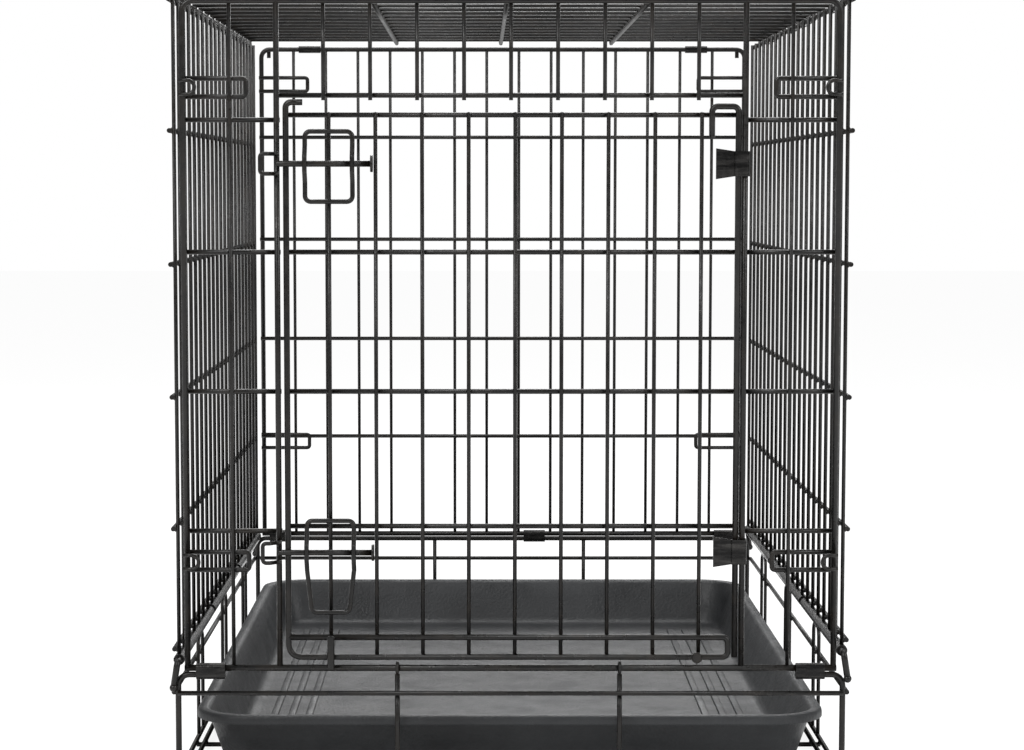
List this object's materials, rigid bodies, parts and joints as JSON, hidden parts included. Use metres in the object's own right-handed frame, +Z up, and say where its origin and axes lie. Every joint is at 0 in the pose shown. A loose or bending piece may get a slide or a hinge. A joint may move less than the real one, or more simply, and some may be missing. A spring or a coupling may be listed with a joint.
{
  "type": "folding pet crate",
  "caption": "Free-standing wire crate with hinged folding panels, a front door with slide bolts and a lift-out pan.",
  "frame": {"origin": "on the floor under the middle of the base, under the centre floor wire", "axes": "+X to the right seen from the door, +Y to the back, +Z up"},
  "size_m": [0.5031, 0.7694, 0.5751],
  "materials": {
    "black_wire": "semi-gloss black powder coat",
    "dark_steel": "glossy dark coated sheet steel",
    "tray_plastic": "fine-textured dark grey moulded plastic"
  },
  "bodies": {
    "base": {"base_frame": "black_wire", "base_rails": "black_wire", "base_floor_wires": "black_wire", "base_side_hoops": "black_wire", "base_uprights": "black_wire", "left_side_rod": "black_wire", "right_side_rod": "black_wire", "front_hinge_sleeve_left": "dark_steel", "front_hinge_sleeve_right": "dark_steel", "back_hinge_sleeves": "dark_steel"},
    "pan": {"pan": "tray_plastic"},
    "front": {"front_panel": "black_wire", "front_grilles": "black_wire", "front_corner_loops": "black_wire", "bolt_keeper_lower": "black_wire", "bolt_keeper_upper": "black_wire"},
    "door": {"door": "black_wire", "bolt_guide_lower": "black_wire", "bolt_guide_upper": "black_wire", "door_hinge_wrap_lower": "dark_steel", "door_hinge_wrap_upper": "dark_steel", "door_catch_pin": "black_wire", "door_stop_stud": "black_wire"},
    "bolt_lower": {"slide_bolt_lower": "black_wire"},
    "bolt_upper": {"slide_bolt_upper": "black_wire"},
    "back": {"back_panel": "black_wire", "back_top_sleeve_left": "dark_steel", "back_top_sleeve_right": "dark_steel", "back_top_catch_left": "black_wire", "back_top_catch_right": "black_wire"},
    "left": {"left_panel": "black_wire", "left_hinge_tube": "dark_steel"},
    "right": {"right_panel": "black_wire", "right_hinge_tube": "dark_steel", "roof_hinge_straps": "dark_steel"},
    "top": {"top_panel": "black_wire"}
  },
  "joints": [
    {"name": "pan_lift", "type": "slide", "parent": "base", "child": "pan", "axis": [0, 0, 1], "range_m": [0, 0.038]},
    {"name": "front_fold", "type": "hinge", "parent": "base", "child": "front", "pos_m": [0, -0.3754, 0.084], "axis": [1, 0, 0], "range_deg": [-90, 0]},
    {"name": "back_fold", "type": "hinge", "parent": "base", "child": "back", "pos_m": [0, 0.3754, 0.091], "axis": [-1, 0, 0], "range_deg": [-87, 0]},
    {"name": "left_fold", "type": "hinge", "parent": "base", "child": "left", "pos_m": [-0.242, 0, 0.089], "axis": [0, 1, 0], "range_deg": [0, 90]},
    {"name": "right_fold", "type": "hinge", "parent": "base", "child": "right", "pos_m": [0.242, 0, 0.0958], "axis": [0, -1, 0], "range_deg": [0, 90]},
    {"name": "top_fold", "type": "hinge", "parent": "right", "child": "top", "pos_m": [0.25215, 0, 0.5707], "axis": [0, 1, 0], "range_deg": [0, 270]},
    {"name": "door_swing", "type": "hinge", "parent": "front", "child": "door", "pos_m": [0.16786, -0.3754, 0], "axis": [0, 0, 1], "range_deg": [0, 165]},
    {"name": "lower_bolt", "type": "slide", "parent": "door", "child": "bolt_lower", "axis": [-1, 0, 0], "range_m": [0, 0.011]},
    {"name": "upper_bolt", "type": "slide", "parent": "door", "child": "bolt_upper", "axis": [-1, 0, 0], "range_m": [0, 0.011]}
  ],
  "couplings": [
    {"joint": "top_fold", "follows": "right_fold", "ratio": 3}
  ]
}
